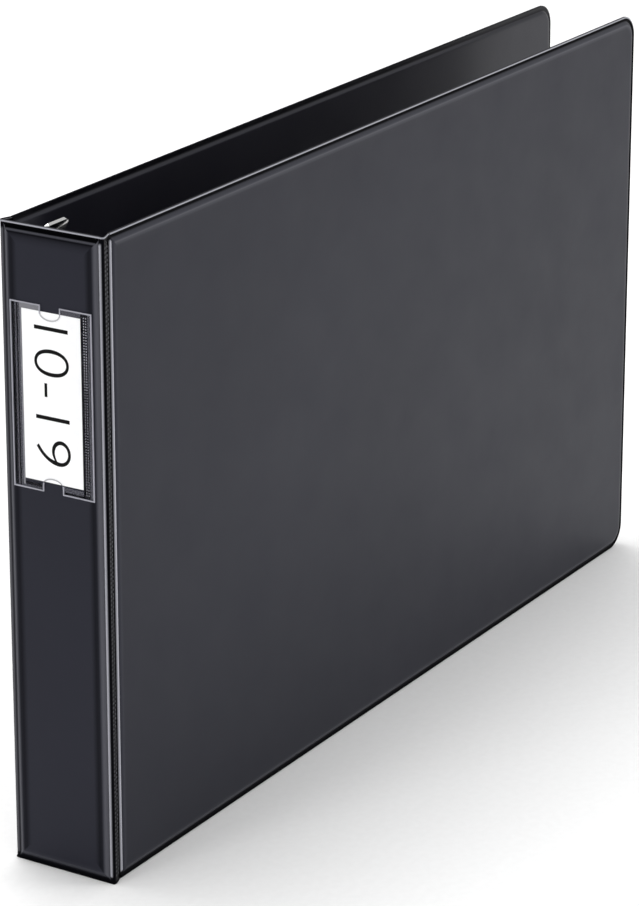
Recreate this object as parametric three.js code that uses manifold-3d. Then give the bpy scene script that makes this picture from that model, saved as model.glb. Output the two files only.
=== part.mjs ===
// Landscape ring binder: three vinyl-covered board panels joined by two hinge strips,
// a label holder on the spine and a three-ring mechanism riveted inside the back cover.
// Millimetres, +Z up. +X runs from the spine to the fore edge, and the front cover faces -Y.
import * as THREE from 'three';
import * as BufferGeometryUtils from 'three/addons/utils/BufferGeometryUtils.js';
import Module from 'manifold-3d';

const wasm = await Module();
wasm.setup();

// Overall sizes. Depths run from the weld plane of the spine to the fore edge.
const binderHeight = 297;
const coverDepth = 489;
const coverSpacing = 49.4; // between the weld planes of the two covers
const hingeSpacing = 52.2; // between the two hinge axes

// Panels
const vinylThickness = 0.35;
const boardThickness = 2.3;
const boardClearance = 0.05;
const rimWidth = 2.4; // flat weld rim along the free edges
const hingeRimWidth = 0.4; // flat weld rim beside a hinge
const shoulderWidth = 1.3; // rounded edge of the raised panel
const shoulderRise = 1;
const leastRadius = 0.1;
const shoulderSteps = 3;
const foreCornerRadius = 12;
const boardCornerRadius = 1.2;
const boardEdgeGap = 0.5;
const cornerSteps = 8; // round a quarter turn

// Hinge strips
const stripThickness = 2 * vinylThickness;
const stripDepth = 6.2; // from the hinge axis to the cover's edge
const hingeBeadRadius = 0.5;
const hingeClearance = 0.3;
const beadSteps = 12; // round a full turn

// Label holder and card
const filmThickness = 0.25;
const filmGap = 0.1;
const holderWidth = 42.2;
const holderHeight = 84;
const holderFromTop = 34.2; // from the binder's top to the holder's top
const pocketWidth = 31.4;
const pocketBottom = 4.4; // weld below the card
const notchWidth = 9;
const notchDepth = 2.2;
const cardWidth = 30.4;
const cardHeight = 76.6;
const cardThickness = 0.3;
const cardGap = 0.05;

// Ring mechanism, measured from the spine's weld plane and from the back cover's liner
const mechanismDepth = 23.5;
const housingWidth = 18;
const housingRise = 6.5;
const housingLength = 269;
const housingSheet = 0.8;
const lipWidth = 1.6;
const arcSteps = 24;
const leafSheet = 0.8;
const leafSideGap = 0.5;
const leafCentreGap = 0.15;
const leafLift = 1.6; // height of a leaf's pivot edge
const leafRestAngle = 6;
const leafUnderNose = 1.6; // length of leaf under a lever's nose
const ringCount = 3;
const ringSpacing = 108;
const wireRadius = 1.9;
const wireSides = 14;
const straightSteps = 24;
const curvedSteps = 30;
const ringFoot = 4.7; // foot of a ring half, from the centre line
const ringTop = 39; // centre line of the wire at the top of the ring
const ringBulge = 13; // furthest reach of the curved half, from the centre line
const ringCornerRadius = 6;
const ringJoint = -1; // where the halves meet, from the centre line
const ringTipGap = 0.3;
const seatGap = 0.05;
const slotMargin = 0.6;

// Levers
const leverPinInset = 2.5; // from the housing's end to the pin
const leverPinHeight = 3.2;
const leverPinRadius = 0.9;
const leverPinClearance = 0.2;
const leverBossRadius = 1.9;
const leverBossWidth = 5;
const leverNoseLength = 5;
const leverNoseWidth = 4;
const leverNoseSheet = 1;
const leverNoseDrop = 1.45; // underside of the nose below the pin
const leverAngle = 28;
const leverReach = 13;
const leverSheet = 1.5;
const leverNeckWidth = 8.4;
const leverTabWidth = 18.4;
const leverTabStart = 4.4;
const leverFlare = 3; // length over which the neck widens to the tab
const leverCornerRadius = 4;
const cheekHeight = 4.3;
const cheekLength = 5.2;

// Rivets
const rivetInset = 22; // from the housing's end
const rivetRadius = 2;
const rivetClearance = 0.3;
const rivetHeadRadius = 4.4;
const rivetHeadRise = 1.2;
const rivetSides = 24;
const rivetRelief = 0.5; // space between a rivet and the leaves

// Levels worked out from the sizes above
const halfSpacing = coverSpacing / 2;
const halfHinge = hingeSpacing / 2;
const panelRise = boardThickness / 2 + boardClearance + vinylThickness; // from the weld plane
const linerFace = halfSpacing - panelRise;
const outerFace = halfSpacing + panelRise;
const spineHalfWidth = halfHinge - hingeBeadRadius - hingeClearance;
const holderBottom = binderHeight - holderFromTop - holderHeight;
const filmFace = panelRise + cardGap + cardThickness + filmGap + filmThickness;
const rivetOutside = outerFace + seatGap + rivetHeadRise;
const housingBottom = (binderHeight - housingLength) / 2;
const housingTop = housingBottom + housingLength;
const arcRadius = ((housingWidth / 2) ** 2 + housingRise ** 2) / (2 * housingRise);
const arcCentre = housingRise - arcRadius;
const leafPivot = Math.sqrt(
  (arcRadius - housingSheet) ** 2 - (leafLift + leafSheet / 2 - arcCentre) ** 2,
) - leafSideGap;

const radians = THREE.MathUtils.degToRad;

const vinyl = { color: 0x2b2b36, roughness: 0.45, metalness: 0 };
const vinylInside = { color: 0x24242d, roughness: 0.5, metalness: 0 };
const board = { color: 0x8a7a64, roughness: 0.9, metalness: 0 };
const film = { color: 0xc8ccd4, roughness: 0.15, metalness: 0, transparent: true, opacity: 0.4 };
const card = { color: 0xf4f4f2, roughness: 0.7, metalness: 0 };
const chrome = { color: 0xc9ccd2, roughness: 0.15, metalness: 1 };

// A solid for cutting and joining, from a closed geometry
function solid(geometry) {
  const bare = geometry.clone();
  bare.deleteAttribute('normal');
  bare.deleteAttribute('uv');
  const merged = BufferGeometryUtils.mergeVertices(bare, 1e-4);
  return new wasm.Manifold(new wasm.Mesh({
    numProp: 3,
    vertProperties: new Float32Array(merged.attributes.position.array),
    triVerts: new Uint32Array(merged.index.array),
  }));
}

// The geometry of a solid
function geometryOf(body) {
  const mesh = body.getMesh();
  const geometry = new THREE.BufferGeometry();
  geometry.setAttribute('position', new THREE.BufferAttribute(mesh.vertProperties, 3));
  geometry.setIndex(new THREE.BufferAttribute(mesh.triVerts, 1));
  return geometry;
}

function piece(name, body, finish) {
  const mesh = new THREE.Mesh(geometryOf(body), new THREE.MeshStandardMaterial(finish));
  mesh.name = name;
  mesh.material.name = `${name}_material`;
  return mesh;
}

function box(low, high) {
  const size = high.map((value, axis) => value - low[axis]);
  const geometry = new THREE.BoxGeometry(...size);
  geometry.translate(...low.map((value, axis) => value + size[axis] / 2));
  return solid(geometry);
}

function cylinder(radius, length, sides) {
  return solid(new THREE.CylinderGeometry(radius, radius, length, sides));
}

// A rectangle from (x0, y0) to (x1, y1), with one radius at its low-x corners and one at the others
function panelShape(x0, y0, x1, y1, lowRadius, highRadius) {
  const shape = new THREE.Shape();
  shape.moveTo(x0 + lowRadius, y0);
  shape.lineTo(x1 - highRadius, y0);
  shape.absarc(x1 - highRadius, y0 + highRadius, highRadius, -Math.PI / 2, 0);
  shape.lineTo(x1, y1 - highRadius);
  shape.absarc(x1 - highRadius, y1 - highRadius, highRadius, 0, Math.PI / 2);
  shape.lineTo(x0 + lowRadius, y1);
  if (lowRadius > 0) shape.absarc(x0 + lowRadius, y1 - lowRadius, lowRadius, Math.PI / 2, Math.PI);
  shape.lineTo(x0, y0 + lowRadius);
  if (lowRadius > 0) shape.absarc(x0 + lowRadius, y0 + lowRadius, lowRadius, Math.PI, 1.5 * Math.PI);
  return shape;
}

function plate(shape, low, high) {
  const settings = { depth: high - low, bevelEnabled: false, curveSegments: cornerSteps / 2 };
  const geometry = new THREE.ExtrudeGeometry(shape, settings);
  geometry.translate(0, 0, low);
  return solid(geometry);
}

// The outside half of a raised panel with a rounded shoulder. The outline is that of its foot.
function pillow(outline, rise) {
  const { x0, y0, x1, y1, highRadius } = outline;
  const inset = shoulderWidth;
  const top = panelShape(
    x0 + inset, y0 + inset, x1 - inset, y1 - inset, 0, Math.max(highRadius - inset, leastRadius),
  );
  const straight = 2 * (rise - shoulderRise);
  const geometry = new THREE.ExtrudeGeometry(top, {
    depth: straight,
    bevelEnabled: true,
    bevelThickness: shoulderRise,
    bevelSize: shoulderWidth,
    bevelSegments: shoulderSteps,
    curveSegments: cornerSteps / 2,
  });
  geometry.translate(0, 0, -straight / 2);
  const reach = 2 * coverDepth;
  return solid(geometry).intersect(box([-reach, -reach, 0], [reach, reach, 2 * rise]));
}

// The three layers of one panel, flat in XY with its weld plane at z = 0 and its outside up.
// x runs away from the low edge, and y along the height. Skin and liner are raised alike over the board.
function panelLayers({ low, high, lowRim, highRim, highRadius }) {
  const sheet = panelShape(low, 0, high, binderHeight, 0, highRadius);
  const raised = {
    x0: low + lowRim,
    y0: rimWidth,
    x1: high - highRim,
    y1: binderHeight - rimWidth,
    highRadius: Math.max(highRadius - highRim, 0),
  };
  const cavity = {
    x0: raised.x0 + vinylThickness,
    y0: raised.y0 + vinylThickness,
    x1: raised.x1 - vinylThickness,
    y1: raised.y1 - vinylThickness,
    highRadius: Math.max(raised.highRadius - vinylThickness, 0),
  };
  const inset = shoulderWidth + boardEdgeGap;
  const boardShape = panelShape(
    cavity.x0 + inset, cavity.y0 + inset, cavity.x1 - inset, cavity.y1 - inset,
    boardCornerRadius, Math.max(cavity.highRadius - inset, boardCornerRadius),
  );
  const skin = plate(sheet, 0, vinylThickness)
    .add(pillow(raised, panelRise))
    .subtract(pillow(cavity, panelRise - vinylThickness));
  const overturned = new THREE.Matrix4().makeScale(1, 1, -1);
  return {
    skin,
    liner: placed(skin, overturned),
    board: plate(boardShape, -boardThickness / 2, boardThickness / 2),
  };
}

// Turns a panel so that its height runs along +Z and its outside faces +Y or -Y
function asCover(body, side) {
  const turn = new THREE.Matrix4().makeBasis(
    new THREE.Vector3(1, 0, 0), new THREE.Vector3(0, 0, 1), new THREE.Vector3(0, side, 0),
  );
  turn.setPosition(0, side * halfSpacing, 0);
  return placed(body, turn);
}

// Turns a panel so that its low edge lies at -Y and its outside faces -X
function asSpine(body) {
  const turn = new THREE.Matrix4().makeBasis(
    new THREE.Vector3(0, 1, 0), new THREE.Vector3(0, 0, 1), new THREE.Vector3(-1, 0, 0),
  );
  return placed(body, turn);
}

// A copy of a body moved by a matrix, and turned right side out where the matrix mirrors it
function placed(body, matrix) {
  const geometry = geometryOf(body);
  geometry.applyMatrix4(matrix);
  if (matrix.determinant() < 0) geometry.index.array.reverse();
  return solid(geometry);
}

const coverPanel = panelLayers({
  low: stripDepth,
  high: coverDepth,
  lowRim: hingeRimWidth,
  highRim: rimWidth,
  highRadius: foreCornerRadius,
});
const spinePanel = panelLayers({
  low: -spineHalfWidth,
  high: spineHalfWidth,
  lowRim: hingeRimWidth,
  highRim: hingeRimWidth,
  highRadius: 0,
});

// A hinge strip: a bead on the hinge axis, and the two welded sheets from there to the cover's edge
function hingeStrip(side) {
  const half = stripThickness / 2;
  const bead = new THREE.Shape();
  bead.absarc(0, halfHinge, hingeBeadRadius, 0, 2 * Math.PI);
  const run = new THREE.Vector2(stripDepth, halfSpacing - halfHinge);
  const across = new THREE.Vector2(-run.y, run.x).setLength(half);
  const strip = new THREE.Shape([
    new THREE.Vector2(-across.x, halfHinge - across.y),
    new THREE.Vector2(stripDepth, halfSpacing - half),
    new THREE.Vector2(stripDepth, halfSpacing + half),
    new THREE.Vector2(across.x, halfHinge + across.y),
  ]);
  const sections = [bead, strip].map((shape) => solid(new THREE.ExtrudeGeometry(shape, {
    depth: binderHeight, bevelEnabled: false, curveSegments: beadSteps / 2,
  })));
  const body = sections[0].add(sections[1]);
  return placed(body, new THREE.Matrix4().makeScale(1, side, 1));
}

// Rivets stand on the centre line of the mechanism
const rivetLevels = [housingBottom + rivetInset, housingTop - rivetInset];

function rivetHoles(body, radius) {
  return rivetLevels.reduce((left, level) => {
    const drill = cylinder(radius, 4 * outerFace, rivetSides).translate([mechanismDepth, 0, level]);
    return left.subtract(drill);
  }, body);
}

// The rivet's outline from its head outside the back cover to its head on the housing
function rivet(level) {
  const outside = rivetOutside;
  const seatOutside = outerFace + seatGap;
  const seatInside = linerFace - housingRise - seatGap;
  const inside = seatInside - rivetHeadRise;
  const edge = 0.45 * rivetHeadRise;
  const outline = [
    [0, inside], [0.6 * rivetHeadRadius, inside], [0.9 * rivetHeadRadius, inside + edge],
    [rivetHeadRadius, seatInside], [rivetRadius, seatInside],
    [rivetRadius, seatOutside], [rivetHeadRadius, seatOutside],
    [0.9 * rivetHeadRadius, outside - edge], [0.6 * rivetHeadRadius, outside], [0, outside],
  ].map(([radius, y]) => new THREE.Vector2(radius, y));
  return solid(new THREE.LatheGeometry(outline, rivetSides)).translate([mechanismDepth, 0, level]);
}

// Label holder: flat weld flange, raised pocket over the card, and a thumb notch at each end
function labelHolder() {
  const top = holderBottom + holderHeight;
  const half = holderWidth / 2;
  const halfPocket = pocketWidth / 2;
  const pocketLow = holderBottom + pocketBottom;
  const reach = filmFace + 1;
  let body = box([-panelRise - filmThickness, -half, holderBottom], [-panelRise, half, top])
    .add(box([-filmFace, -halfPocket - filmThickness, pocketLow - filmThickness],
      [-panelRise, halfPocket + filmThickness, top]))
    .subtract(box([filmThickness - filmFace, -halfPocket, pocketLow], [-panelRise + 1, halfPocket, top + 1]));
  const notch = new THREE.CylinderGeometry(notchWidth / 2, notchWidth / 2, reach, rivetSides);
  notch.rotateZ(Math.PI / 2);
  notch.translate(-reach, 0, 0);
  const round = solid(notch);
  for (const [end, sign] of [[top, -1], [holderBottom, 1]]) {
    const deep = end + sign * notchDepth;
    const levels = [deep, end - sign].sort((a, b) => a - b);
    body = body.subtract(round.translate([reach / 2 - panelRise + 0.5, 0, deep]));
    body = body.subtract(box(
      [-2 * reach, -notchWidth / 2, levels[0]], [-panelRise + 1, notchWidth / 2, levels[1]],
    ));
  }
  return body;
}

function labelCard() {
  const low = holderBottom + pocketBottom + filmGap;
  const face = -panelRise - cardGap;
  return box([face - cardThickness, -cardWidth / 2, low], [face, cardWidth / 2, low + cardHeight]);
}

// The mechanism is drawn with u across it (towards the fore edge), h above the liner and v along it.
// This matrix sets it on the back cover: u to +X, h to -Y, v to +Z.
const onBackCover = new THREE.Matrix4().makeBasis(
  new THREE.Vector3(1, 0, 0), new THREE.Vector3(0, -1, 0), new THREE.Vector3(0, 0, 1),
).setPosition(mechanismDepth, linerFace, 0);

// Points of an arc of the housing's curve, from one end to the other at the height low
function housingArc(radius, low) {
  const start = Math.asin((low - arcCentre) / radius);
  const points = [];
  for (let step = 0; step <= arcSteps; step += 1) {
    const angle = start + (Math.PI - 2 * start) * (step / arcSteps);
    points.push(new THREE.Vector2(radius * Math.cos(angle), arcCentre + radius * Math.sin(angle)));
  }
  return points;
}

function extruded(points, low, high) {
  const settings = { depth: high - low, bevelEnabled: false };
  const geometry = new THREE.ExtrudeGeometry(new THREE.Shape(points), settings);
  geometry.translate(0, 0, low);
  return solid(geometry);
}

const ringLevels = Array.from(
  { length: ringCount },
  (_, index) => binderHeight / 2 + (index - (ringCount - 1) / 2) * ringSpacing,
);
const pinLevels = [housingBottom + leverPinInset, housingTop - leverPinInset];

function ringHousing() {
  const outer = housingArc(arcRadius, 0);
  const inner = housingArc(arcRadius - housingSheet, housingSheet).reverse();
  const lip = Math.abs(inner[0].x) - lipWidth;
  let body = extruded(housingSection(outer, inner, lip), housingBottom, housingTop);
  const slotHalf = wireRadius + slotMargin;
  for (const level of ringLevels) {
    for (const side of [-1, 1]) {
      const us = [side * (ringFoot - slotHalf), side * (leafPivot + slotMargin)].sort((a, b) => a - b);
      body = body.subtract(box(
        [us[0], leafLift, level - slotHalf], [us[1], 2 * housingRise, level + slotHalf],
      ));
    }
  }
  const open = housingWidth;
  body = body
    .subtract(box([-open, cheekHeight, housingTop - cheekLength], [open, open, housingTop + 1]))
    .subtract(box([-open, cheekHeight, housingBottom - 1], [open, open, housingBottom + cheekLength]));
  for (const level of pinLevels) {
    const drill = new THREE.CylinderGeometry(
      leverPinRadius + leverPinClearance, leverPinRadius + leverPinClearance, 2 * housingWidth, rivetSides,
    );
    drill.rotateZ(Math.PI / 2);
    body = body.subtract(solid(drill).translate([0, leverPinHeight, level]));
  }
  for (const level of rivetLevels) {
    const hole = cylinder(rivetRadius + rivetClearance, 4 * housingRise, rivetSides);
    body = body.subtract(hole.translate([0, 0, level]));
  }
  return placed(body, onBackCover);
}

// The housing's section: outer curve, a lip turned in at each foot, and the inner curve
function housingSection(outer, inner, lip) {
  return [
    ...outer, new THREE.Vector2(-lip, 0), new THREE.Vector2(-lip, housingSheet),
    ...inner, new THREE.Vector2(lip, housingSheet), new THREE.Vector2(lip, 0),
  ];
}

// Turns a piece of one leaf from flat to its angle at rest, about the leaf's pivot edge
function leafTurn(side) {
  return new THREE.Matrix4()
    .makeTranslation(side * leafPivot, leafLift, 0)
    .multiply(new THREE.Matrix4().makeRotationZ(side * radians(leafRestAngle)))
    .multiply(new THREE.Matrix4().makeTranslation(-side * leafPivot, -leafLift, 0));
}

function carrierLeaf(side) {
  const us = [side * leafCentreGap, side * leafPivot].sort((a, b) => a - b);
  const leafEnd = leverNoseLength - leafUnderNose;
  const low = pinLevels[0] + leafEnd;
  const high = pinLevels[1] - leafEnd;
  const flat = box([us[0], leafLift - leafSheet / 2, low], [us[1], leafLift + leafSheet / 2, high]);
  let body = placed(flat, leafTurn(side));
  for (const level of rivetLevels) {
    const relief = cylinder(rivetRadius + rivetRelief, 4 * housingRise, rivetSides);
    body = body.subtract(relief.translate([0, 0, level]));
  }
  return placed(body, onBackCover);
}

// Round wire swept along a path in the plane of u and h
function wire(path, steps) {
  const section = new THREE.Shape();
  section.absarc(0, 0, wireRadius, 0, 2 * Math.PI);
  return solid(new THREE.ExtrudeGeometry(section, {
    steps, extrudePath: path, bevelEnabled: false, curveSegments: wireSides / 2,
  }));
}

function ringHalf(side, level) {
  const point = (u, h) => new THREE.Vector3(u, h, 0);
  const path = new THREE.CurvePath();
  if (side > 0) {
    const corner = ringTop - ringCornerRadius;
    const handle = 0.45 * ringCornerRadius;
    path.add(new THREE.LineCurve3(point(ringFoot, 0), point(ringFoot, corner)));
    path.add(new THREE.CubicBezierCurve3(
      point(ringFoot, corner), point(ringFoot, ringTop - handle),
      point(ringFoot - ringCornerRadius + handle + 1, ringTop), point(ringJoint + ringTipGap / 2, ringTop),
    ));
  } else {
    const knee = housingRise;
    const middle = 0.55 * ringTop;
    path.add(new THREE.LineCurve3(point(-ringFoot, 0), point(-ringFoot, knee)));
    path.add(new THREE.CubicBezierCurve3(
      point(-ringFoot, knee), point(-ringFoot, 0.5 * (knee + middle) - 2),
      point(-ringBulge, 0.5 * (knee + middle) - 2), point(-ringBulge, middle),
    ));
    path.add(new THREE.CubicBezierCurve3(
      point(-ringBulge, middle), point(-ringBulge, 0.82 * ringTop),
      point(-0.62 * ringBulge, ringTop), point(ringJoint - ringTipGap / 2, ringTop),
    ));
  }
  const seat = leafLift + leafSheet / 2 + seatGap;
  const below = box([-housingWidth, -housingWidth, -housingWidth], [housingWidth, seat, housingWidth]);
  const seated = wire(path, side > 0 ? straightSteps : curvedSteps).subtract(placed(below, leafTurn(side)));
  return placed(seated.translate([0, 0, level]), onBackCover);
}

// Lever: boss on its pin, nose over the leaves' ends, and a handle that widens to a round-cornered tab.
// It is drawn with v away from the housing's middle and turned over for the bottom end.
function lever(level, direction) {
  const boss = new THREE.CylinderGeometry(leverBossRadius, leverBossRadius, leverBossWidth, rivetSides);
  boss.rotateZ(Math.PI / 2);
  const bore = new THREE.CylinderGeometry(
    leverPinRadius + leverPinClearance, leverPinRadius + leverPinClearance, 2 * leverBossWidth, rivetSides,
  );
  bore.rotateZ(Math.PI / 2);
  const nose = box(
    [-leverNoseWidth / 2, -leverNoseDrop, -leverNoseLength],
    [leverNoseWidth / 2, leverNoseSheet - leverNoseDrop, 0],
  );
  const halfNeck = leverNeckWidth / 2;
  const halfTab = leverTabWidth / 2;
  const flareMiddle = leverTabStart + leverFlare / 2;
  const flareEnd = leverTabStart + leverFlare;
  const round = leverCornerRadius;
  const outline = new THREE.Shape();
  outline.moveTo(-halfNeck, 0);
  outline.lineTo(halfNeck, 0);
  outline.lineTo(halfNeck, leverTabStart);
  outline.bezierCurveTo(halfNeck, flareMiddle, halfTab, leverTabStart, halfTab, flareEnd);
  outline.lineTo(halfTab, leverReach - round);
  outline.absarc(halfTab - round, leverReach - round, round, 0, Math.PI / 2);
  outline.lineTo(-halfTab + round, leverReach);
  outline.absarc(-halfTab + round, leverReach - round, round, Math.PI / 2, Math.PI);
  outline.lineTo(-halfTab, flareEnd);
  outline.bezierCurveTo(-halfTab, leverTabStart, -halfNeck, flareMiddle, -halfNeck, leverTabStart);
  const handle = plate(outline, -leverSheet / 2, leverSheet / 2);
  const tilt = new THREE.Matrix4().makeRotationX(Math.PI / 2 - radians(leverAngle));
  const body = placed(handle, tilt).add(solid(boss)).add(nose).subtract(solid(bore));
  const turn = new THREE.Matrix4().makeScale(1, 1, direction).setPosition(0, leverPinHeight, level);
  return placed(placed(body, turn), onBackCover);
}

function leverPin(level) {
  const length = housingWidth - 2;
  const pin = new THREE.CylinderGeometry(leverPinRadius, leverPinRadius, length, rivetSides);
  pin.rotateZ(Math.PI / 2);
  return placed(solid(pin).translate([0, leverPinHeight, level]), onBackCover);
}

const binder = new THREE.Group();
binder.name = 'ring_binder';

binder.add(
  piece('front_cover_skin', asCover(coverPanel.skin, -1), vinyl),
  piece('front_cover_board', asCover(coverPanel.board, -1), board),
  piece('front_cover_liner', asCover(coverPanel.liner, -1), vinylInside),
  piece('front_hinge_strip', hingeStrip(-1), vinyl),
  piece('spine_skin', asSpine(spinePanel.skin), vinyl),
  piece('spine_board', asSpine(spinePanel.board), board),
  piece('spine_liner', asSpine(spinePanel.liner), vinylInside),
  piece('back_hinge_strip', hingeStrip(1), vinyl),
  piece('back_cover_skin', rivetHoles(asCover(coverPanel.skin, 1), rivetRadius + rivetClearance), vinyl),
  piece('back_cover_board', rivetHoles(asCover(coverPanel.board, 1), rivetRadius + rivetClearance), board),
  piece('back_cover_liner', rivetHoles(asCover(coverPanel.liner, 1), rivetRadius + rivetClearance), vinylInside),
  piece('label_holder', labelHolder(), film),
  piece('label_card', labelCard(), card),
  piece('ring_housing', ringHousing(), chrome),
  piece('spine_side_leaf', carrierLeaf(-1), chrome),
  piece('fore_side_leaf', carrierLeaf(1), chrome),
  piece('bottom_lever', lever(pinLevels[0], -1), chrome),
  piece('top_lever', lever(pinLevels[1], 1), chrome),
  piece('bottom_lever_pin', leverPin(pinLevels[0]), chrome),
  piece('top_lever_pin', leverPin(pinLevels[1]), chrome),
);
const ringNames = ['bottom', 'middle', 'top'];
ringLevels.forEach((level, index) => {
  binder.add(piece(`${ringNames[index]}_ring_curved_half`, ringHalf(-1, level), chrome));
  binder.add(piece(`${ringNames[index]}_ring_straight_half`, ringHalf(1, level), chrome));
});
rivetLevels.forEach((level, index) => {
  binder.add(piece(`${['bottom', 'top'][index]}_rivet`, rivet(level), chrome));
});

// The origin is at the middle of the base
const reachBack = filmFace;
binder.position.set(-(coverDepth - reachBack) / 2, -(rivetOutside - outerFace) / 2, 0);

export default binder;
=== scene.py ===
"""Looks of a landscape ring binder: vinyl panels, welded hinges, label pocket and ring mechanism."""

from __future__ import annotations

import logging
import math
from dataclasses import dataclass, field
from enum import Enum
from typing import Callable, Sequence

import bmesh
import bpy
from mathutils import Euler, Matrix, Vector
from mathutils.geometry import interpolate_bezier

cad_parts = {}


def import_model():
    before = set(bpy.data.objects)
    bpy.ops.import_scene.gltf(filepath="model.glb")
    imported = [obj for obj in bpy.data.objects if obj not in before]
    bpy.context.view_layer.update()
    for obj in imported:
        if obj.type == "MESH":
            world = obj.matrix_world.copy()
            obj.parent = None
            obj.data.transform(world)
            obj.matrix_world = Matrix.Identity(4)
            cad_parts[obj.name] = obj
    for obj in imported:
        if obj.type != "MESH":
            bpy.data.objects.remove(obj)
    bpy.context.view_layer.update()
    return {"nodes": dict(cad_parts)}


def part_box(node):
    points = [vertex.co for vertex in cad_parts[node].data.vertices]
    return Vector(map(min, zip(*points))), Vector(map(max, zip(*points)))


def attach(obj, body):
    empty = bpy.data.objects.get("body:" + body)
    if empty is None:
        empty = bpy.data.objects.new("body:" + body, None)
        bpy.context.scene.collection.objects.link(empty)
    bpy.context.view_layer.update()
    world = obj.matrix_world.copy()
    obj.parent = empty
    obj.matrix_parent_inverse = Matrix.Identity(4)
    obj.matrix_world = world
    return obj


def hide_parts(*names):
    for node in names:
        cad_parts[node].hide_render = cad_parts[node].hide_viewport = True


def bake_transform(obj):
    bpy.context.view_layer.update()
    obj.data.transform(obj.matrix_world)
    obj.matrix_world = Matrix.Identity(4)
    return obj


MM = 0.001
LOG = logging.getLogger("binder")

# Points closer than this many metres are merged before a bevel
MERGE_DISTANCE = 2e-6
# Faces that meet at less than this many degrees are joined before a bevel
FLAT_DEGREES = 1.0
# Edges that turn more than this many degrees are broken with a bevel
CORNER_DEGREES = 40.0
BEVEL_STEPS = 2


# Mesh helpers


def finished(name: str, bm: bmesh.types.BMesh, finishes: Sequence[bpy.types.Material],
             sharp: float) -> bpy.types.Object:
    """Turns a bmesh into a linked object with smooth faces and sharp creases.

    Args:
        name: The piece's name.
        bm: The shape, in metres in the binder's frame. It is freed.
        finishes: The materials, in the order of the faces' material indices.
        sharp: Edges that turn more than this many degrees stay sharp.

    Returns:
        The new object, at the origin.
    """
    mesh = bpy.data.meshes.new(name)
    bm.to_mesh(mesh)
    bm.free()
    mesh.shade_smooth()
    mesh.set_sharp_from_angle(angle=math.radians(sharp))
    for finish in finishes:
        mesh.materials.append(finish)
    piece = bpy.data.objects.new(name, mesh)
    bpy.context.scene.collection.objects.link(piece)
    return piece


def placed(bm: bmesh.types.BMesh, place: Matrix) -> None:
    """Moves every vertex by a matrix and turns the faces back out if it mirrors."""
    bmesh.ops.transform(bm, matrix=place, verts=bm.verts)
    if place.determinant() < 0:
        bmesh.ops.reverse_faces(bm, faces=bm.faces)


def meshed(name: str, curve: bpy.types.Curve) -> bpy.types.Mesh:
    """Turns a curve or a text into a mesh.

    Args:
        name: The name of the object that holds it meanwhile.
        curve: The curve or the text.

    Returns:
        The mesh.
    """
    holder = bpy.data.objects.new(name, curve)
    bpy.context.scene.collection.objects.link(holder)
    bpy.context.view_layer.update()
    mesh = bpy.data.meshes.new_from_object(holder.evaluated_get(bpy.context.evaluated_depsgraph_get()))
    bpy.data.objects.remove(holder)
    return mesh


def refined(node: str, name: str, edge: float, finish: bpy.types.Material) -> bpy.types.Object:
    """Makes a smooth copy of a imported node, with its sharp edges broken by a small bevel.

    Args:
        node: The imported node.
        name: The new piece's name.
        edge: The bevel's width in metres.
        finish: The copy's material.

    Returns:
        The copy, which stands for the node.
    """
    bm = bmesh.new()
    bm.from_mesh(bpy.data.objects[node].data)
    bmesh.ops.remove_doubles(bm, verts=bm.verts, dist=MERGE_DISTANCE)
    bmesh.ops.dissolve_limit(bm, angle_limit=math.radians(FLAT_DEGREES), verts=bm.verts, edges=bm.edges)
    corners = [edge_line for edge_line in bm.edges
               if edge_line.is_manifold and edge_line.calc_face_angle(0.0) > math.radians(CORNER_DEGREES)]
    bmesh.ops.bevel(
        bm, geom=corners, offset=edge, offset_type="OFFSET", affect="EDGES",
        segments=BEVEL_STEPS, profile=0.5, material=-1, clamp_overlap=True,
    )
    for face in bm.faces:
        face.material_index = 0
    piece = finished(name, bm, [finish], sharp=50.0)
    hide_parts(node)
    return piece


def smoothstep(low: float, high: float, value: float) -> float:
    """Returns how far value is from low to high, from 0 to 1, with a soft start and end."""
    t = min(max((value - low) / (high - low), 0.0), 1.0)
    return t * t * (3 - 2 * t)


def ridge(centre: float, width: float, value: float) -> float:
    """Returns a round hump of height 1 and the given full width around centre, and 0 outside it."""
    t = abs(value - centre) / (width / 2)
    return math.sqrt(max(1 - t * t, 0.0)) if t < 1 else 0.0


# Materials


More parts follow.
